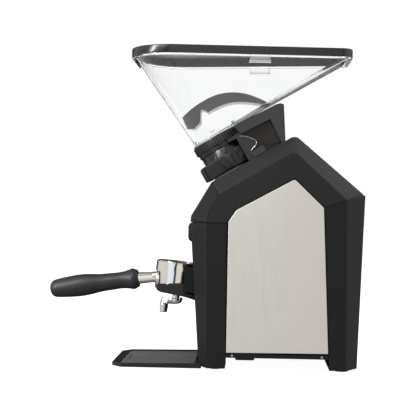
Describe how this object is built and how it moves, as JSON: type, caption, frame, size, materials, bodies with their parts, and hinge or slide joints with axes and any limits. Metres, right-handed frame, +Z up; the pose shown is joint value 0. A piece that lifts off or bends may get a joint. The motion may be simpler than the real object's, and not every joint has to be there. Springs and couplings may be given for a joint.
{
  "type": "burr coffee grinder",
  "caption": "Electric burr coffee grinder with a tilted clear hopper, adjusting collar, sloped display visor and a fork that holds a portafilter over a slide-out tray.",
  "frame": {"origin": "on the table, under the middle of the overall box including the portafilter", "axes": "+X to the grinder's rear, -X to the user, +Y across the body, +Z up"},
  "size_m": [0.4772, 0.188, 0.4755],
  "materials": {
    "black_plastic": "fine satin texture, black",
    "knob_plastic": "satin, near black",
    "ring_plastic": "satin, ribbed",
    "liner_plastic": "matt black",
    "panel_steel": "vertical brushing",
    "clear_plastic": "clear polished plastic",
    "smoke_plastic": "dark blue-grey, semi-gloss",
    "seal_rubber": "matt",
    "display_glass": "polished dark lens",
    "button_metal": "satin chrome",
    "chrome": "polished chrome plate",
    "basket_steel": "polished stainless steel",
    "grip_rubber": "soft black, faint sheen",
    "screw_steel": "plated steel",
    "red_plastic": "gloss black",
    "burr_steel": "ground steel",
    "cast_alloy": "as cast",
    "motor_steel": "grey paint",
    "grey_plastic": "grey",
    "circuit_board": "green solder mask"
  },
  "bodies": {
    "body": {"head_cover": "black_plastic", "display_visor": "black_plastic", "display_window": "display_glass", "display_board": "circuit_board", "front_pillar_near": "black_plastic", "front_pillar_far": "black_plastic", "rear_cover": "black_plastic", "base_plate": "black_plastic", "side_liner_near": "liner_plastic", "side_liner_far": "liner_plastic", "side_panel_near": "panel_steel", "side_panel_far": "panel_steel", "recess_panel": "black_plastic", "rubber_feet": "seal_rubber", "panel_screws": "screw_steel", "power_inlet": "black_plastic", "rocker_frame": "black_plastic", "throat": "knob_plastic", "burr_chamber": "cast_alloy", "chute": "black_plastic", "nozzle": "black_plastic", "clump_flap": "seal_rubber", "motor_mount": "cast_alloy", "motor_housing": "motor_steel", "motor_end": "cast_alloy", "bearing_upper": "burr_steel", "bearing_lower": "burr_steel", "stator": "motor_steel", "hopper_bracket": "black_plastic", "interlock_block": "smoke_plastic", "interlock_plunger": "screw_steel", "fork": "black_plastic", "dose_switch": "grey_plastic", "control_board": "circuit_board", "motor_capacitor": "grey_plastic"},
    "rotor": {"rotor_core": "motor_steel", "motor_fan": "grey_plastic", "drive_shaft": "burr_steel", "burr_carrier": "cast_alloy", "lower_burr": "burr_steel"},
    "adjuster": {"adjust_knob": "knob_plastic"},
    "burr_lift": {"upper_burr_holder": "cast_alloy", "upper_burr": "burr_steel"},
    "lock": {"lock_ring": "ring_plastic"},
    "hopper": {"hopper": "clear_plastic", "finger_guard": "smoke_plastic"},
    "lid": {"lid": "smoke_plastic", "lid_seal": "seal_rubber"},
    "portafilter": {"filter_bowl": "chrome", "filter_basket": "basket_steel", "spout": "chrome", "handle_rod": "chrome", "handle_grip": "grip_rubber"},
    "tray": {"tray": "black_plastic", "tray_mat": "seal_rubber"},
    "plunger": {"dose_plunger": "grey_plastic"},
    "rocker": {"power_rocker": "red_plastic"},
    "button_single": {"button_single": "button_metal"},
    "button_double": {"button_double": "button_metal"},
    "button_start": {"button_start": "button_metal"}
  },
  "joints": [
    {"name": "motor_spin", "type": "hinge", "parent": "body", "child": "rotor", "pos_m": [0.09699, 0, 0.2082], "axis": [-0.5, 0, 0.866], "continuous": true},
    {"name": "adjust_turn", "type": "hinge", "parent": "body", "child": "adjuster", "pos_m": [0.03899, 0, 0.30866], "axis": [-0.5, 0, 0.866], "range_deg": [-60, 270]},
    {"name": "burr_travel", "type": "slide", "parent": "body", "child": "burr_lift", "axis": [-0.5, 0, 0.866], "range_m": [-0.0003, 0.0012]},
    {"name": "lock_turn", "type": "hinge", "parent": "body", "child": "lock", "pos_m": [0.02099, 0, 0.33983], "axis": [-0.5, 0, 0.866], "range_deg": [0, 45]},
    {"name": "hopper_lift", "type": "slide", "parent": "body", "child": "hopper", "axis": [-0.5, 0, 0.866], "range_m": [0, 0.05]},
    {"name": "lid_lift", "type": "slide", "parent": "hopper", "child": "lid", "axis": [0, 0, 1], "range_m": [0, 0.08]},
    {"name": "portafilter_slide", "type": "slide", "parent": "body", "child": "portafilter", "axis": [-0.9936, 0, 0.1132], "range_m": [0, 0.11]},
    {"name": "tray_slide", "type": "slide", "parent": "body", "child": "tray", "axis": [-1, 0, 0], "range_m": [0, 0.12]},
    {"name": "plunger_press", "type": "slide", "parent": "body", "child": "plunger", "axis": [1, 0, 0], "range_m": [0, 0.004], "stiffness_N_per_m": 300, "springref_m": -0.002},
    {"name": "rocker_tip", "type": "hinge", "parent": "body", "child": "rocker", "pos_m": [0.22977, 0, 0.10411], "axis": [0.0363, 0, 0.9993], "range_deg": [0, 14]},
    {"name": "button_single_press", "type": "slide", "parent": "body", "child": "button_single", "axis": [0.8602, 0, -0.51], "range_m": [0, 0.001], "stiffness_N_per_m": 400, "springref_m": -0.001},
    {"name": "button_double_press", "type": "slide", "parent": "body", "child": "button_double", "axis": [0.8602, 0, -0.51], "range_m": [0, 0.001], "stiffness_N_per_m": 400, "springref_m": -0.001},
    {"name": "button_start_press", "type": "slide", "parent": "body", "child": "button_start", "axis": [0.8602, 0, -0.51], "range_m": [0, 0.001], "stiffness_N_per_m": 400, "springref_m": -0.001}
  ],
  "couplings": [
    {"joint": "burr_travel", "follows": "adjust_turn", "m_per_rad": 0.00023873}
  ]
}
